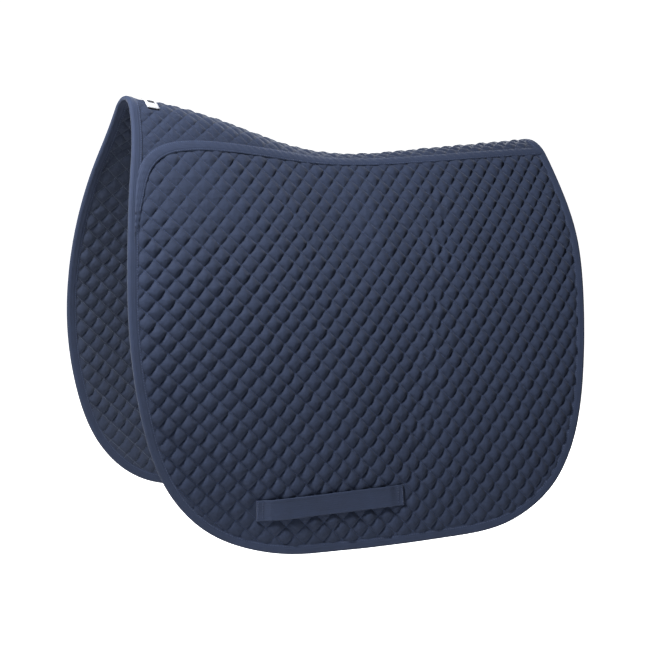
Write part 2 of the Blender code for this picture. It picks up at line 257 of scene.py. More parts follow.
def crumples(y, s, height, lean, turns, wander, wander_turns):
    """Close upright ripples that lean and wander on their way down; turns are in rad/m."""
    return height * np.sin((y + lean * s) * turns + wander * np.sin(wander_turns * s))


def drape(y, s, n, side):
    """Places in space of pattern points at height n above the middle layer."""
    y, s, n = np.broadcast_arrays(*(np.asarray(v, float) for v in (y, s, n)))
    shape, small = y.shape, 1e-4
    y, s, n = y.ravel(), s.ravel(), n.ravel()
    down = middle_layer(y, s + small) - middle_layer(y, s - small)
    back = middle_layer(y + small, s) - middle_layer(y - small, s)
    normal = np.cross(down, back)
    normal /= np.linalg.norm(normal, axis=1, keepdims=True)
    normal *= np.sign(normal[:, :1] + normal[:, 2:])
    place = middle_layer(y, s) + (n + soft_folds(y, s, side))[:, None] * normal
    return (place * (side, 1, 1)).reshape(shape + (3,))


# ---- Meshes ----

def add_piece(name, points, faces, material, uv=None, crest_normals=False):
    """A smooth-shaded mesh object. uv maps are given per vertex, by name."""
    mesh = bpy.data.meshes.new(name)
    mesh.from_pydata(np.asarray(points, float).tolist(), [], faces)
    mesh.polygons.foreach_set("use_smooth", np.ones(len(mesh.polygons), bool))
    corner = np.zeros(len(mesh.loops), int)
    mesh.loops.foreach_get("vertex_index", corner)
    for layer, values in (uv or {}).items():
        values = np.asarray(values, np.float32)[corner]
        mesh.uv_layers.new(name=layer).data.foreach_set("uv", values.ravel())
    mesh.materials.append(material)
    mesh.update()
    if crest_normals:
        level_crest_normals(mesh)
    made = bpy.data.objects.new(name, mesh)
    bpy.context.scene.collection.objects.link(made)
    return made


CREST_REACH = 2e-5                 # x below this counts as on the crest


def level_crest_normals(mesh):
    """Shade both sides of the crest alike: normals there have no sideways part."""
    normals = np.zeros(len(mesh.vertices) * 3, np.float32)
    mesh.vertex_normals.foreach_get("vector", normals)
    normals = normals.reshape(-1, 3)
    place = np.zeros(len(mesh.vertices) * 3, np.float32)
    mesh.vertices.foreach_get("co", place)
    normals[np.abs(place[::3]) < CREST_REACH, 0] = 0
    normals /= np.maximum(np.linalg.norm(normals, axis=1, keepdims=True), 1e-9)
    mesh.normals_split_custom_set_from_vertices(normals.tolist())


def facing(faces, side):
    """The same faces, turned over on the mirrored side."""
    return faces if side > 0 else [face[::-1] for face in faces]


def yoke_rows(lattice):
    """Pattern places of lattice points on the yoke: rows on the bias, mirrored at the crest."""
    a, b = lattice.T
    return (a - b) * YOKE_PITCH * math.sqrt(0.5), (a + b) * YOKE_PITCH * math.sqrt(0.5)


LEVELLED_Y = (-0.33, 0.29)         # over which the panels' rows follow the crest's rise


def panel_rows(lattice):
    """Pattern places on a panel, whose rows are straight as it hangs and close up to the rear."""
    a, b = lattice.T * PITCH
    down, level = math.pi / 4 + QUILT_TURN, math.pi / 4 - QUILT_TURN
    y = a * math.cos(down) - b * math.cos(level)
    s = a * math.sin(down) + b * math.sin(level)
    behind = np.clip(y - CLOSING_FROM, 0, None)
    y = np.minimum(y, CLOSING_FROM) + (np.sqrt(1 + 2 * CLOSING * behind) - 1) / CLOSING
    return y, s + crest_height(np.clip(y, *LEVELLED_Y))


# Where the cloth is drawn tight: (share of loft lost, y, s, half width in y, in s).
TIGHT_SPOTS = ((0.62, -0.235, 0.125, 0.10, 0.075), (0.42, -0.10, 0.08, 0.19, 0.12))
TIGHT_HEM = 0.40
LABEL_MARGIN, LABEL_LOFT = 0.003, 0.4      # the label's pillows keep this share of their loft
END_PRESS, MIDDLE_PRESS = 0.85, 0.55       # loft lost under the girth loop's ends and middle


def fullness(y, s):
    """The pillows' share of their full loft: flatter where the cloth is drawn tight."""
    tight = TIGHT_HEM * smooth_step(s, 0.44, 0.53)
    for lost, spot_y, spot_s, half_y, half_s in TIGHT_SPOTS:
        away = ((y - spot_y) / half_y) ** 2 + ((s - spot_s) / half_s) ** 2
        tight = np.maximum(tight, lost * np.exp(-away))
    label = (LABEL_Y[0] - LABEL_MARGIN < y) & (y < LABEL_Y[1] + LABEL_MARGIN)
    label = label & (s < LABEL_S[1] + LABEL_MARGIN)
    return (1 - tight) * (1 - pressed_by_loop(y, s)) * np.where(label, LABEL_LOFT, 1)


def pressed_by_loop(y, s):
    """How far the girth loop flattens the pillows: most under its sewn ends."""
    t, middle = loop_middle(np.clip(y, LOOP_FRONT[0] - 0.02, LOOP_REAR[0] + 0.02))
    inward = np.minimum(t, 1 - t) * LOOP_LENGTH
    ends = END_PRESS * (1 - smooth_step(np.abs(inward - 0.004), 0.006, 0.015))
    pressed = np.maximum(ends, MIDDLE_PRESS * smooth_step(inward, 0.0, 0.008))
    return pressed * (1 - smooth_step(np.abs(s - middle), 0.0115, 0.0165))


def loop_middle(y):
    """The fraction along the girth loop at y, and s there; it is straight once the pad hangs."""
    (y0, s0), (y1, s1) = LOOP_FRONT, LOOP_REAR
    t = (y - y0) / (y1 - y0)
    hollow = crest_height(y0) * (1 - t) + crest_height(y1) * t - crest_height(y)
    return t, s0 + (s1 - s0) * t - hollow


def arch(t):
    """0 at both ends of 0 to 1, and 1 in the middle."""
    return np.clip(4 * t * (1 - t), 0, 1)


def beside(distance, sewn, fade):
    """1 at the stitching of an edge, fading into the cloth, and 0 outside it."""
    return np.exp(-np.clip(distance - sewn, 0, 1) / fade) * (distance > sewn - BESIDE_SEWN)


GRID_REACH = 0.75                  # the lattice is laid this far from the pattern's middle
SNAP_REACH = 0.0045                # rim points this near a region's edge are moved onto it
BESIDE_SEWN = 0.002                # puckers and wadding begin this far behind the stitching
WADDING_RIM = 0.0004               # the wadding's half thickness at its edges
WADDING_FULL = 0.012               # it is full this far in from the stitching


class Quilt:
    """A lattice of stitched diamonds over one region of the pattern."""

    def __init__(self, steps, region, inset, seam_gap):
        self.region, self.inset, self.seam_gap = region, inset, seam_gap
        self.grid(np.array(steps))
        self.measure()

    def grid(self, steps):
        """Grid lines follow the stitching; a cell's sides are divided at the given steps."""
        reach = math.ceil(GRID_REACH / PITCH)
        ticks = np.concatenate([k + steps for k in range(-reach, reach)] + [[reach]])
        across, along = np.meshgrid(ticks, ticks, indexing="ij")
        lattice = np.stack([across.ravel(), along.ravel()], 1)
        y, s = panel_rows(lattice) if self.region == "panel" else yoke_rows(lattice)
        pattern = np.stack([y, s], 1)
        close = (PATTERN_Y[0] < y) & (y < PATTERN_Y[1]) & (-TINY < s) & (s < PATTERN_S[1])
        keep = np.zeros(len(pattern), bool)
        keep[close] = self.inside(pattern[close])
        self.connect(keep, len(ticks))
        self.pattern, self.lattice = pattern[self.kept], lattice[self.kept]

    def inside(self, pattern):
        """Which points lie in this region, clear of its outline and seam."""
        found = inside_pad(pattern) | (np.abs(pattern[:, 1]) < TINY)
        found &= near_outline.find(pattern)[0] > self.inset
        below = pattern[:, 1] - np.interp(pattern[:, 0], seam[:, 0], seam[:, 1])
        gap = near_seam.find(pattern)[0]
        return found & (gap > self.seam_gap) & ((below > 0) == (self.region == "panel"))

    def connect(self, keep, count):
        """Faces between the kept points; where one corner of four is missing, a triangle."""
        index = np.arange(len(keep)).reshape(count, count)
        corners = index[:-1, :-1], index[1:, :-1], index[1:, 1:], index[:-1, 1:]
        ring = np.stack(corners, -1).reshape(-1, 4)
        here = keep[ring]
        count_here = here.sum(1)
        faces = ring[count_here == 4].tolist()
        for four, is_here in zip(ring[count_here == 3], here[count_here == 3]):
            faces.append(four[is_here].tolist())
        used = np.unique(np.concatenate([np.array(f) for f in faces]))
        renumber = np.full(len(keep), -1)
        renumber[used] = np.arange(len(used))
        self.kept = used
        self.faces = [renumber[f].tolist() for f in faces]

    def rim(self):
        """The edges of only one face, as pairs of points in the order of the faces."""
        seen = {}
        for face in self.faces:
            for a, b in zip(face, face[1:] + face[:1]):
                seen[(a, b)] = True
        return [edge for edge in seen if edge[::-1] not in seen]

    def measure(self):
        """Snap the rim to the region's edge, and find how far each point is from sewn lines."""
        self.edge = self.rim()
        rim = np.unique(np.array(self.edge))
        for near, gap in ((near_outline, self.inset), (near_seam, self.seam_gap)):
            away, index = near.find(self.pattern[rim])
            close = (away < gap + SNAP_REACH) & (self.pattern[rim, 1] > TINY)
            from_line = self.pattern[rim] - near.line[index]
            moved = near.line[index] + from_line * (gap / np.maximum(away, TINY))[:, None]
            self.pattern[rim[close]] = moved[close]
        self.from_edge, index = near_outline.find(self.pattern)
        self.along_edge = near_outline.length[index]
        self.from_seam, index = near_seam.find(self.pattern)
        self.along_seam = near_seam.length[index]

    def loft(self, height, seed):
        """Pillow height at each point: full in a diamond's middle, nothing at its stitching."""
        cell = np.floor(self.lattice + TINY)
        u, w = np.clip(self.lattice - cell, 0, 1).T
        w = w ** SAG
        dome = arch(u) ** DOME[0] * arch(w) ** DOME[1] * fullness(*self.pattern.T)
        lean = 1 + LEANING * (0.5 - u) * np.sin(cell[:, 0] * 5.1 + cell[:, 1] * 3.3 + seed)
        uneven = 1 + UNEVEN * np.sin(cell[:, 0] * 12.9898 + cell[:, 1] * 78.233 + seed)
        return height * dome * lean * uneven * self.sewn_down() * self.crumpling(seed)

    def sewn_down(self):
        """The share of their loft that pillows keep beside the binding and the tape."""
        ease = PANEL_EASE if self.region == "panel" else YOKE_EASE
        by_binding = np.clip((self.from_edge - BINDING_SEWN) / ease, 0, 1) ** 0.6
        return by_binding * np.clip((self.from_seam - TAPE_SEWN) / ease, 0, 1) ** 0.6

    def crumpling(self, seed):
        """Small creases over the pillows: waves bent by slower waves, in two directions."""
        y, s = self.pattern.T
        crumpled = 1 + CRUMPLED * np.sin(930 * y + 2.2 * np.sin(410 * s + seed))
        return crumpled + CRUMPLED * np.sin(870 * s + 2.6 * np.sin(530 * y - seed))

    def puckers(self):
        """Small ripples that run in from the sewn edges."""
        by_edge = beside(self.from_edge, BINDING_SEWN, 0.007)
        by_seam = beside(self.from_seam, TAPE_SEWN, 0.006)
        edge_waves = np.sin(self.along_edge * 820 + 2 * np.sin(self.along_edge * 61))
        seam_waves = np.sin(self.along_seam * 900 + 2 * np.sin(self.along_seam * 47))
        return PUCKER * (by_edge * edge_waves + by_seam * seam_waves)

    def height(self, outer):
        """n of this layer's outward or inward surface."""
        if outer:
            loft = OUTER_LOFT if self.region == "panel" else YOKE_LOFT
            return STITCHED + self.loft(loft, 0.0) + self.puckers()
        return -STITCHED - self.loft(INNER_LOFT, 2.0)

    def uv(self):
        """Maps of the cloth: metres on the pattern, and the lattice of the quilting."""
        return {"pattern": self.pattern, "quilt": self.lattice}

    def sheet(self, name, side, outer, material):
        """The cover (outer) or the lining."""
        points = drape(self.pattern[:, 0], self.pattern[:, 1], self.height(outer), side)
        faces = facing(self.faces, side if outer else -side)
        on_crest = self.region == "yoke"
        return add_piece(name, points, faces, material, self.uv(), crest_normals=on_crest)

    def filling(self, name, side, material):
        """The wadding: a closed body just inside the cover and the lining."""
        y, s = self.pattern.T
        edge = np.minimum(self.from_edge - BINDING_SEWN, self.from_seam - TAPE_SEWN)
        full = smooth_step(edge, -BESIDE_SEWN, WADDING_FULL)
        above = self.height(True) - CLOTH - WADDING_RIM
        below = self.height(False) + CLOTH + WADDING_RIM
        top = drape(y, s, WADDING_RIM + above * full, side)
        bottom = drape(y, s, -WADDING_RIM + below * full, side)
        count = len(top)
        faces = [list(f) for f in self.faces]
        faces += [[v + count for v in f[::-1]] for f in self.faces]
        faces += [[b, a, a + count, b + count] for a, b in self.edge]
        uv = {key: np.vstack([value, value]) for key, value in self.uv().items()}
        return add_piece(name, np.vstack([top, bottom]), facing(faces, side), material, uv)


def swept(name, rings, material, side, uv, crest_normals=False):
    """A closed body through rings of points, (stations, points around, 3)."""
    stations, around = rings.shape[:2]
    faces = []
    for i in range(stations - 1):
        for k in range(around):
            a, b = i * around + k, i * around + (k + 1) % around
            faces.append([a, b, b + around, a + around])
    faces.append(list(range(around))[::-1])
    faces.append(list(range((stations - 1) * around, stations * around)))
    points = rings.reshape(-1, 3)
    return add_piece(name, points, facing(faces, side), material, {"pattern": uv}, crest_normals)


def band_uv(along, around):
    """A map of a band, in metres along it and around it."""
    return np.stack([np.repeat(along, len(around)), np.tile(around, len(along))], 1)


# ---- Edge binding, tapes and webbing ----

BINDING_STATIONS = 520
BLUNTED = 12                       # stations over which the binding turns square to the crest


def binding_profile():
    """Across the folded tape, from its outer edge over the fold to its inner edge: (in, n)."""
    outer = [(0.0120, 0.0016), (0.01205, 0.0020), (0.0116, 0.0023), (BINDING_SEWN, 0.0020),
             (0.0092, 0.0026), (0.0068, 0.0031), (0.0050, 0.0029), (0.0042, 0.0031),
             (0.0021, 0.0031), (0.0008, 0.0024), (0.0001, 0.0012), (0.0, 0.0)]
    inner = [(0.0118, 0.0015), (0.0092, 0.0019), (0.0068, 0.0023), (0.0042, 0.0023),
             (0.0024, 0.0021), (0.0014, 0.0014), (0.0009, 0.0)]
    whole = outer + [(a, -n) for a, n in outer[-2::-1]]
    whole += [(a, -n) for a, n in inner] + inner[-2::-1]
    return np.array(whole)


def add_binding(name, side, material):
    """Tape folded over the whole edge of one side, from the front of the crest to its rear."""
    line = resampled(outline, BINDING_STATIONS)
    normals = line_normals(line)
    normals[[0, -1]] = (1, 0), (-1, 0)
    n, turn = BLUNTED, np.linspace(1, 0, BLUNTED)[:, None]
    normals[:n] = normals[n] + (normals[0] - normals[n]) * turn
    normals[-n:] = normals[-n] + (normals[-1] - normals[-n]) * turn[::-1]
    along = line_length(line)
    section = binding_profile()
    place = line[:, None] + section[None, :, :1] * normals[:, None]
    place[[0, -1], :, 1] = 0
    ripple = 0.0132 * np.sin(along * 700 + 3 * np.sin(along * 41)) + 0.012 * np.sin(along * 233)
    ripple = ripple * smooth_step(along, 0, 0.02)
    height = section[None, :, 1] * (1 + ripple[:, None])
    rings = drape(place[..., 0], place[..., 1], height, side)
    uv = band_uv(along, line_length(section))
    return swept(name, rings, material, -side, uv, crest_normals=True)


TAPE_HEIGHT, TAPE_THICKNESS = 0.0036, 0.0008       # of its outer face over the middle layer
STITCH_DENT, DENT_WIDTH = 0.0004, 0.0006


def tape_line(across):
    """The seam tape's line at a distance above (+) or below (-) the seam, and its height."""
    line = seam + across * line_normals(seam)
    rounding = 0.0004 * (across / 0.006) ** 2
    dent = STITCH_DENT * bump(abs(across), TAPE_SEWN, DENT_WIDTH)
    edge = 0.0005 * smooth_step(abs(across), 0.0050, TAPE_WIDTH / 2)
    along = line_length(seam)
    ripple = 0.00016 * np.sin(along * 640 + 2 * np.sin(along * 37) + across * 400)
    return trimmed_to_edges(line), TAPE_HEIGHT - rounding - dent - edge + ripple


UNDER_BINDING = 0.0070             # tapes end this far in from the outline


def trimmed_to_edges(line):
    """Keep a line clear of the front of the outline: it runs under the binding's edge."""
    away, index = near_outline.find(line)
    inward = line_normals(outline)[index]
    short = np.clip(UNDER_BINDING - np.einsum("ij,ij->i", line - outline[index], inward), 0, None)
    return line + short[:, None] * inward


def add_tape(name, side, material):
    """Seam tape with rounded edges, dented along its stitching."""
    edge = TAPE_WIDTH / 2
    half = [0.0018, 0.0037, TAPE_SEWN, edge - 0.0004, edge]
    widths = [-w for w in half[::-1]] + [0] + half
    tops, bottoms = [], []
    for across in widths:
        line, height = tape_line(across)
        tops.append(drape(line[:, 0], line[:, 1], height, side))
        bottoms.append(drape(line[:, 0], line[:, 1], height - TAPE_THICKNESS, side))
    rings = np.stack(tops + bottoms[::-1], 1)
    return swept(name, rings, material, side, band_uv(line_length(line), widths + widths[::-1]))


LOOP_SEWN, LOOP_RISE = 0.0044, 0.0021      # height of its sewn ends, and how far it rises
LOOP_THICKNESS = 0.0016
LOOP_STATIONS = 110
BEAD, BEAD_WIDTH, SELVEDGE = 0.00035, 0.0007, 0.0004


def loop_place(t, across):
    """Places on the girth loop's outer face: t from 0 at its front end to 1 at its rear."""
    t, across = np.broadcast_arrays(np.asarray(t, float), np.asarray(across, float))
    y = LOOP_FRONT[0] + (LOOP_REAR[0] - LOOP_FRONT[0]) * t
    s = loop_middle(y)[1] - across
    end = np.minimum(t, 1 - t) * LOOP_LENGTH
    stand = LOOP_SEWN + LOOP_RISE * smooth_step(end, 0.0085, 0.018)
    stand = stand + 0.0004 * np.sin(9 * t + 0.6) * smooth_step(end, 0.010, 0.030)
    stand = stand + 0.0003 * np.sin(across * 180 + 14 * t) * smooth_step(end, 0.012, 0.04)
    return y, s, stand


def add_loop(name, side, material):
    """Webbing with beaded selvedges, sewn down at both ends."""
    half = LOOP_WIDTH / 2
    shares = [0.2, 0.5, 0.82, 0.90, 0.97, 1]
    across = np.array([-x for x in shares[::-1]] + [0] + shares) * half
    t = np.linspace(0, 1, LOOP_STATIONS)
    bead = BEAD * bump(np.abs(across), half * 0.93, BEAD_WIDTH)
    bead = bead - SELVEDGE * smooth_step(np.abs(across), half * 0.95, half)
    y, s, stand = loop_place(t[:, None], across[None, :])
    top = drape(y, s, stand + bead, side)
    bottom = drape(y, s, stand - LOOP_THICKNESS - bead, side)
    rings = np.concatenate([top, bottom[:, ::-1]], 1)
    along = line_length(top[:, len(across) // 2])
    uv = band_uv(along, np.concatenate([across, across[::-1]]))
    return swept(name, rings, material, side, uv)


LABEL_HEIGHT, LABEL_RISE, LABEL_THICKNESS = 0.0036, 0.0007, 0.0005


def add_label(name, material):
    """A blank woven label, sewn over the quilting beside the crest."""
    s = np.linspace(*LABEL_S, 12)
    y = np.linspace(*LABEL_Y, 10)
    yy, ss = np.meshgrid(y, s, indexing="ij")
    u, w = (yy - y[0]) / (y[-1] - y[0]), (ss - s[0]) / (s[-1] - s[0])
    rise = LABEL_HEIGHT + LABEL_RISE * np.sqrt(arch(u) * arch(w))
    top = drape(yy, ss, rise + LABEL_THICKNESS * 0.4, 1)
    bottom = drape(yy, ss, rise - LABEL_THICKNESS * 0.6, 1)
    rings = np.concatenate([top, bottom[:, ::-1]], 1)
    uv = [np.concatenate([share, share[:, ::-1]], 1).ravel() for share in (u, w)]
    return swept(name, rings, material, 1, np.stack(uv, 1))


# ---- Stitches ----

STITCH_PITCH, STITCH_LENGTH, STITCH_RADIUS = 0.0030, 0.0023, 0.00032
AROUND = 5                         # points round a stitch
FLATTENED = 1.25                   # a stitch is wider than high
# Stations of one stitch: (share of its length, share of its radius, height in radii).
SPINDLE = ((0.0, 0.25, -0.5), (0.18, 0.9, 0.3), (0.5, 1.0, 0.7),
           (0.82, 0.9, 0.3), (1.0, 0.25, -0.5))
ROW_STATIONS = 500
BINDING_ROW_HEIGHT = 0.0021
LOOP_ROWS = (0.0016, 0.0074)       # in from each end of the girth loop
LOOP_ROW_HALF = 0.0105


def stitches(path, out):
    """Thread stitches along a path in space: small spindles lying on the cloth."""
    length = line_length(path)
    starts = np.arange(STITCH_PITCH / 2, length[-1] - STITCH_PITCH / 2, STITCH_PITCH)
    first = values_at(starts, length, path)
    last = values_at(starts + STITCH_LENGTH, length, path)
    up = values_at(starts + STITCH_LENGTH / 2, length, out)
    up /= np.linalg.norm(up, axis=1, keepdims=True)
    along = last - first
    tangent = along / np.linalg.norm(along, axis=1, keepdims=True)
    sideways = np.cross(tangent, up)
    points = []
    corners = [(math.cos(a), math.sin(a)) for a in np.arange(AROUND) * 2 * math.pi / AROUND]
    for fraction, fat, lift in SPINDLE:
        centre = first + along * fraction + up * STITCH_RADIUS * lift
        for c, d in corners:
            points.append(centre + (sideways * c * FLATTENED + up * d) * STITCH_RADIUS * fat)
    points = np.stack(points, 1)
    each, base = points.shape[1], spindle_faces()
    faces = [[v + j * each for v in face] for j in range(len(points)) for face in base]
    return points.reshape(-1, 3), faces


def spindle_faces():
    """Faces of one stitch, whose points run round each station in turn."""
    faces = []
    for start in range(0, (len(SPINDLE) - 1) * AROUND, AROUND):
        for k in range(AROUND):
            after = (k + 1) % AROUND
            faces.append([start + k, start + AROUND + k, start + AROUND + after, start + after])
    points = list(range(len(SPINDLE) * AROUND))
    return faces + [points[:AROUND], points[:-AROUND - 1:-1]]


def on_cloth(line, height, side):
    """A path on the cloth, with the outward directions along it."""
    y, s = line.T
    low, high = drape(y, s, height, side), drape(y, s, height + 0.001, side)
    return low, high - low


def binding_rows(side):
    """Stitch rows on both faces of the edge binding."""
    line = resampled(outline, ROW_STATIONS)
    inner = (line + BINDING_SEWN * line_normals(line))[4:-4]
    inner = inner[inner[:, 1] > 0.001]
    return [on_cloth(inner, BINDING_ROW_HEIGHT, side),
            flipped(on_cloth(inner, -BINDING_ROW_HEIGHT, side))]


def flipped(row):
    """The same row, with its stitches lying on the other face."""
    return row[0], -row[1]


def tape_rows(side):
    """A stitch row along each edge of the seam tape."""
    rows = []
    for across in (-TAPE_SEWN, TAPE_SEWN):
        line, height = tape_line(across)
        keep = near_outline.find(line)[0] > BINDING_WIDTH
        rows.append(on_cloth(line[keep], (height - 0.00005)[keep], side))
    return rows


def loop_rows(side):
    """Bar rows across both sewn ends of the girth loop."""
    rows = []
    across = np.linspace(-LOOP_ROW_HALF, LOOP_ROW_HALF, 20)
    for place in LOOP_ROWS:
        for t in (place / LOOP_LENGTH, 1 - place / LOOP_LENGTH):
            y, s, stand = loop_place(t, across)
            rows.append(on_cloth(np.stack([y, s], 1), stand + 0.0001, side))
    return rows


def add_stitching(name, rows, side, material):
    """One mesh of all the stitches in the given rows."""
    points, faces, count = [], [], 0
    for path, out in rows:
        made, around = stitches(path, out)
        faces += [[v + count for v in face] for face in around]
        points.append(made)
        count += len(made)
    return add_piece(name, np.vstack(points), facing(faces, side), material)


# ---- Materials ----

class Nodes:
    """A short way to build a material's node tree."""

    def __init__(self, name, color, roughness, sheen, sheen_tint=(1, 1, 1)):
        self.material = bpy.data.materials.new(name)
        self.material.use_nodes = True
        self.tree = self.material.node_tree
        self.shader = self.tree.nodes["Principled BSDF"]
        self.shader.inputs["Base Color"].default_value = (*color, 1)
        self.shader.inputs["Roughness"].default_value = roughness
        self.shader.inputs["Sheen Weight"].default_value = sheen
        self.shader.inputs["Sheen Roughness"].default_value = 0.5
        self.shader.inputs["Sheen Tint"].default_value = (*sheen_tint, 1)
        self.shader.inputs["Specular IOR Level"].default_value = 0.5

    def add(self, kind, **values):
        node = self.tree.nodes.new(kind)
        for key, value in values.items():
            if key in node.inputs:
                self.put(node.inputs[key], value)
            else:
                setattr(node, key, value)
        return node

    def put(self, socket, value):
        if isinstance(value, bpy.types.NodeSocket):
            self.tree.links.new(value, socket)
        else:
            socket.default_value = value

    def math(self, operation, *values):
        node = self.tree.nodes.new("ShaderNodeMath")
        node.operation = operation
        for socket, value in zip(node.inputs, values):
            self.put(socket, value)
        return node.outputs[0]

    def times(self, first, second):
        return self.math("MULTIPLY", first, second)

    def plus(self, first, second):
        return self.math("ADD", first, second)

    def uv(self, layer):
        """A uv map, and its two parts."""
        source = self.add("ShaderNodeUVMap", uv_map=layer).outputs[0]
        parts = self.add("ShaderNodeSeparateXYZ", Vector=source)
        return source, parts.outputs[0], parts.outputs[1]

    def noise(self, vector, scale, detail=3.0):
        node = self.add("ShaderNodeTexNoise", Vector=vector, Scale=scale, Detail=detail)
        return node.outputs["Fac"]

    def ramp(self, factor, *stops):
        """A colour ramp between two (place, colour) stops."""
        node = self.tree.nodes.new("ShaderNodeValToRGB")
        self.put(node.inputs[0], factor)
        for element, (place, color) in zip(node.color_ramp.elements, stops):
            element.position = place
            element.color = (*color, 1)
        return node.outputs[0]

    def mix(self, factor, first, second):
        """The first colour where factor is 0, the second where it is 1."""
        node = self.tree.nodes.new("ShaderNodeMix")
        node.data_type = "RGBA"
        self.put(node.inputs[0], factor)
        self.put(node.inputs[6], first)
        self.put(node.inputs[7], (*second, 1))
        return node.outputs[2]

    def paint(self, color):
        self.put(self.shader.inputs["Base Color"], color)

    def relief(self, *layers):
        """Chained bumps, (height, distance, strength)."""
        normal = None
        for height, distance, strength in layers:
            node = self.add("ShaderNodeBump", Height=height, Distance=distance, Strength=strength)
            if normal is not None:
                self.put(node.inputs["Normal"], normal)
            normal = node.outputs[0]
        self.put(self.shader.inputs["Normal"], normal)


def shade(color, factor):
    return tuple(min(1.0, c * factor) for c in color)


def twill(nodes, u, w, pitch):
    """Height of a twill weave: fine diagonals, crossed faintly the other way."""
    turns = 2 * math.pi / pitch
    diagonal = nodes.plus(nodes.times(u, turns), nodes.times(w, turns * 0.9))
    cross = nodes.math("SUBTRACT", nodes.times(u, turns * 2.2), nodes.times(w, turns * 2.0))
    return nodes.plus(nodes.times(nodes.math("SINE", diagonal), 0.35),
                      nodes.times(nodes.math("SINE", cross), 0.15))


def plain_weave(nodes, u, w, pitch):
    """Height of a plain weave, where warp crosses weft."""
    warp, weft = (nodes.math("SINE", nodes.times(place, 2 * math.pi / pitch)) for place in (u, w))
    return nodes.times(nodes.times(warp, weft), 0.5)


def line_distance(nodes, coordinate):
    """Distance from the nearest quilting line, in metres at the panels' pitch."""
    wrapped = nodes.math("FRACT", nodes.plus(coordinate, 0.5))
    return nodes.times(nodes.math("ABSOLUTE", nodes.math("SUBTRACT", wrapped, 0.5)), PITCH)


def dashes(nodes, distance, along, thread_half):
    """1 on the stitches of one set of quilting lines, along which a lattice coordinate runs."""
    place = nodes.math("FRACT", nodes.times(along, STITCHES_PER_DIAMOND))
    dash = nodes.math("GREATER_THAN", place, STITCH_GAP)
    return nodes.times(nodes.math("LESS_THAN", distance, thread_half), dash)


SHEEN_TINT = (0.75, 0.82, 1.0)
TWILL_PITCH = 0.0011
STITCHES_PER_DIAMOND, STITCH_GAP = 6.0, 0.28       # the gap is a share of a stitch
GROOVE_SHADE_RATE = 420.0                    # per metre: how soon the painted shade beside a quilting line fades out


def quilted_cotton(name, color, thread_color, thread_half):
    """Cotton twill, with the quilting thread along its lines and painted shade darkening the cloth
    beside them.
    """
    n = Nodes(name, color, roughness=0.88, sheen=0.10, sheen_tint=SHEEN_TINT)
    vector, u, w = n.uv("pattern")
    _, a, b = n.uv("quilt")
    weave = twill(n, u, w, TWILL_PITCH)
    blotch = n.noise(vector, 14.0)
    crumple = n.noise(vector, 210.0, 5.0)
    grain = n.noise(vector, 520.0)
    fuzz = n.noise(vector, 1500.0, 2.0)
    from_a, from_b = line_distance(n, a), line_distance(n, b)
    thread = n.math("MAXIMUM", dashes(n, from_a, b, thread_half), dashes(n, from_b, a, thread_half))
    from_line = n.math("MINIMUM", from_a, from_b)
    # painted shade: the cloth is darkened within about 2.4 mm of each quilting line, as if its
    # groove were in shade
    groove_shade = n.math("SUBTRACT", 1.0, n.math("MINIMUM", n.times(from_line, GROOVE_SHADE_RATE), 1.0))
    base = n.ramp(blotch, (0.3, shade(color, 0.93)), (0.7, shade(color, 1.07)))
    base = n.mix(n.times(n.plus(weave, 0.5), 0.22), base, shade(color, 1.6))
    base = n.mix(n.times(fuzz, 0.25), base, shade(color, 0.72))
    base = n.mix(n.times(grain, 0.45), base, shade(color, 0.60))
    # mix in the painted groove shade beside the quilting lines
    base = n.mix(n.times(groove_shade, 0.5), base, shade(color, 0.55))
    n.paint(n.mix(thread, base, thread_color))
    n.relief((crumple, 0.0016, 0.7), (grain, 0.0004, 0.5), (weave, 0.00012, 0.5),
             (thread, 0.0003, 0.6))
    return n.material


def woven_tape(name, color, pitch, rib):
    """Woven tape or webbing: threads and ribs at their pitches, and slubs."""
    n = Nodes(name, color, roughness=0.82, sheen=0.12, sheen_tint=SHEEN_TINT)
    vector, u, w = n.uv("pattern")
    weave = plain_weave(n, u, w, pitch)
    ribs = n.math("SINE", n.times(w, 2 * math.pi / rib))
    slub = n.noise(vector, 60.0, 4.0)
    crumple = n.noise(vector, 230.0)
    base = n.ramp(slub, (0.3, shade(color, 0.90)), (0.72, shade(color, 1.10)))
    base = n.mix(n.times(n.plus(weave, 0.5), 0.25), base, shade(color, 1.55))
    n.paint(n.mix(n.times(n.plus(n.times(ribs, 0.5), 0.5), 0.14), base, shade(color, 0.6)))
    n.relief((crumple, 0.0007, 0.35), (ribs, 0.00015, 0.35), (weave, 0.00015, 0.5))
    return n.material


def wadding_fibre(name):
    n = Nodes(name, (0.78, 0.78, 0.76), roughness=0.95, sheen=0.3)
    fibre = n.noise(n.uv("pattern")[0], 700.0, 6.0)
    n.paint(n.ramp(fibre, (0.3, (0.62, 0.62, 0.60)), (0.7, (0.84, 0.84, 0.82))))
    n.relief((fibre, 0.0008, 0.6))
    return n.material


def thread_cotton(name, color):
    n = Nodes(name, color, roughness=0.7, sheen=0.2)
    place = n.add("ShaderNodeTexCoord").outputs["Object"]
    twist = n.noise(place, 2600.0, 2.0)
    n.paint(n.ramp(twist, (0.35, shade(color, 0.8)), (0.65, shade(color, 1.25))))
    n.relief((twist, 0.0002, 0.4))
    return n.material


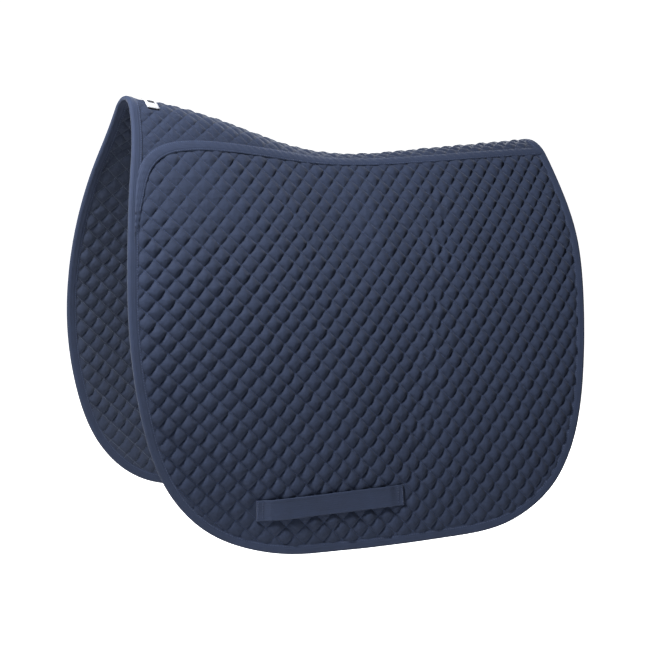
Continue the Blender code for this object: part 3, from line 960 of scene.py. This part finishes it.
def label_weave(name):
    """White satin label with a plain dark bar and a woven border."""
    n = Nodes(name, (0.60, 0.61, 0.64), roughness=0.6, sheen=0.15)
    vector, u, w = n.uv("pattern")
    from_middle = [n.math("ABSOLUTE", n.math("SUBTRACT", place, 0.5)) for place in (u, w)]
    border = n.math("GREATER_THAN", n.math("MAXIMUM", *from_middle), 0.44)
    halves = zip(from_middle, (0.30, 0.13))
    bar = n.times(*(n.math("LESS_THAN", away, half) for away, half in halves))
    weave = plain_weave(n, u, w, 0.03)
    base = n.ramp(n.noise(vector, 9.0), (0.3, (0.46, 0.47, 0.50)), (0.7, (0.55, 0.56, 0.59)))
    base = n.mix(n.times(border, 0.25), base, (0.38, 0.40, 0.45))
    base = n.mix(n.times(n.plus(weave, 0.5), 0.12), base, (0.40, 0.42, 0.46))
    n.paint(n.mix(bar, base, (0.02, 0.022, 0.03)))
    n.relief((weave, 0.0001, 0.4))
    return n.material


NAVY = (0.0122, 0.0227, 0.0570)
NAVY_TAPE = (0.0152, 0.0268, 0.0650)
LINING = (0.0190, 0.0300, 0.0640)
LINING_THREAD = (0.070, 0.090, 0.140)
cover_cloth = quilted_cotton("navy_quilted_twill", NAVY, shade(NAVY, 1.9), thread_half=0.00032)
lining_cloth = quilted_cotton("navy_lining_twill", LINING, LINING_THREAD, thread_half=0.00042)
tape_cloth = woven_tape("navy_binding_tape", NAVY_TAPE, pitch=0.0009, rib=0.0020)
webbing_cloth = woven_tape("navy_webbing", shade(NAVY_TAPE, 0.98), pitch=0.0012, rib=0.0026)
thread_cloth = thread_cotton("navy_thread", shade(NAVY_TAPE, 1.7))
wadding_cloth = wadding_fibre("polyester_wadding")
label_cloth = label_weave("blank_label_satin")


# ---- The pad ----

SIDES_OF_PAD = (("left", 1), ("right", -1))
CURVED_FILL = 0.3                  # a strip that fills less of its rectangle is given straightened


def region_area(region):
    """Flat area of one side's panel or yoke, and the rectangle it is cut from."""
    step = 0.002
    y, s = np.meshgrid(np.arange(*PATTERN_Y, step), np.arange(*PATTERN_S, step), indexing="ij")
    points = np.stack([y.ravel(), s.ravel()], 1)
    below = points[:, 1] > np.interp(points[:, 0], seam[:, 0], seam[:, 1])
    chosen = points[inside_pad(points) & (below if region == "panel" else ~below)]
    sizes = []
    for angle in np.radians(np.arange(0, 90, 3)):
        cos, sin = math.cos(angle), math.sin(angle)
        turned = chosen @ np.array([[cos, -sin], [sin, cos]])
        sizes.append(tuple(turned.max(0) - turned.min(0)))
    wide, long = min(sizes, key=math.prod)
    area = len(chosen) * step * step
    if area < CURVED_FILL * wide * long:
        wide, long = area / max(wide, long), max(wide, long)
    return (wide, long), area


def hang(piece, side, slot, *nodes):
    """Bake a piece's placement into its mesh, in place of its CAD nodes, which are hidden."""
    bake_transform(piece)
    if nodes:
        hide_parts(*nodes)


def add_quilted(region, cloth, wadding, flat, area):
    """Both sides' wadding, cover and lining over one region."""
    for word, side in SIDES_OF_PAD:
        name = f"{word}_{region}"
        whole = [] if region == "panel" else ["yoke"]
        nodes = lambda layer: [f"{part}_{layer}" for part in [name, *whole]]
        filling = wadding.filling(name + "_wadding", side, wadding_cloth)
        cover = cloth.sheet(name + "_quilted_cover", side, True, cover_cloth)
        lining = cloth.sheet(name + "_quilted_lining", side, False, lining_cloth)
        hang(filling, side, "wadding", *nodes("batting"))
        hang(cover, side, "quilted_cover", *nodes("cover"))
        hang(lining, side, "lining_cotton", *nodes("lining"))


for region in ("panel", "yoke"):
    cloth = Quilt(QUILT_STEPS, region, *SHEET_EDGE)
    wadding = Quilt(WADDING_STEPS, region, *WADDING_EDGE)
    add_quilted(region, cloth, wadding, *region_area(region))

for word, side in SIDES_OF_PAD:
    tape = add_tape(word + "_seam_tape_woven", side, tape_cloth)
    hang(tape, side, "binding_tape", word + "_seam_tape")
    binding = add_binding(word + "_binding_woven", side, tape_cloth)
    hang(binding, side, "binding_tape", word + "_edge_binding", "withers_binding", "cantle_binding")
    loop = add_loop(word + "_girth_webbing", side, webbing_cloth)
    hang(loop, side, "webbing", word + "_girth_loop")
    rows = binding_rows(side) + tape_rows(side) + loop_rows(side)
    hang(add_stitching(word + "_stitching", rows, side, thread_cloth), side, "binding_tape")
hang(add_label("blank_label", label_cloth), 1, "label_cloth", "woven_label")


# ---- Stage, light and camera ----

BACKDROP = 1.1                     # how bright floor and background look to the camera
WORLD_LIGHT = 0.05                 # how much light the background gives to everything else
FLOOR_HALF, FLOOR_HEIGHT = 30.0, -0.75
AIM = Vector((0, -0.0248, -0.1831))
AZIMUTH, ELEVATION, DISTANCE = math.radians(62.98), math.radians(10.37), 1.9171


def add_floor():
    corners = ((-1, -1), (1, -1), (1, 1), (-1, 1))
    points = [(FLOOR_HALF * x, FLOOR_HALF * y, FLOOR_HEIGHT) for x, y in corners]
    floor = add_piece("floor", points, [[0, 1, 2, 3]], floor_paint())


def floor_paint():
    n = Nodes("pale_floor", (0.9, 0.9, 0.9), roughness=0.8, sheen=0.0)
    tone = n.noise(n.add("ShaderNodeTexCoord").outputs["Object"], 3.0)
    n.paint(n.ramp(tone, (0.3, (0.92, 0.92, 0.92)), (0.7, (0.95, 0.95, 0.95))))
    seen = n.add("ShaderNodeLightPath").outputs["Is Camera Ray"]
    n.put(n.shader.inputs["Emission Strength"], n.times(seen, BACKDROP))
    n.shader.inputs["Emission Color"].default_value = (1, 1, 1, 1)
    return n.material


def add_area_light(name, place, target, size, power):
    light = bpy.data.lights.new(name, "AREA")
    light.shape, light.size, light.energy = "SQUARE", size, power
    lamp = bpy.data.objects.new(name, light)
    lamp.location = place
    lamp.rotation_euler = (Vector(target) - Vector(place)).to_track_quat("-Z", "Y").to_euler()
    bpy.context.scene.collection.objects.link(lamp)


def add_camera():
    level = math.cos(ELEVATION)
    back = Vector((math.sin(AZIMUTH) * level, -math.cos(AZIMUTH) * level, math.sin(ELEVATION)))
    camera = bpy.data.objects.new("camera", bpy.data.cameras.new("camera"))
    camera.location = AIM + back * DISTANCE
    camera.rotation_euler = (-back).to_track_quat("-Z", "Y").to_euler()
    camera.data.lens, camera.data.sensor_width = 82.26, 36.0
    camera.data.shift_y = -0.036
    bpy.context.scene.collection.objects.link(camera)
    bpy.context.scene.camera = camera


def add_world():
    world = bpy.data.worlds.new("studio")
    world.use_nodes = True
    tree = world.node_tree
    background = tree.nodes["Background"]
    background.inputs["Color"].default_value = (1, 1, 1, 1)
    seen = tree.nodes.new("ShaderNodeLightPath").outputs["Is Camera Ray"]
    strength = tree.nodes.new("ShaderNodeMapRange")
    tree.links.new(seen, strength.inputs["Value"])
    strength.inputs["To Min"].default_value = WORLD_LIGHT
    strength.inputs["To Max"].default_value = BACKDROP
    tree.links.new(strength.outputs[0], background.inputs["Strength"])
    bpy.context.scene.world = world


add_floor()
add_world()
LEFT, LOW_LEFT, RIGHT = (0.1, 0, -0.2), (0.18, -0.15, -0.42), (-0.1, 0, -0.2)
add_area_light("key", (0.36, -0.80, 0.88), target=LEFT, size=0.22, power=31)
add_area_light("fill", (0.95, -1.05, -0.60), target=LOW_LEFT, size=0.6, power=4.2)
add_area_light("back_key", (-0.75, 1.25, 0.30), target=RIGHT, size=0.5, power=32)
add_area_light("back_fill", (-2.2, 0.6, 0.5), target=RIGHT, size=1.6, power=4)
add_camera()
bpy.context.scene.view_settings.view_transform = "Standard"
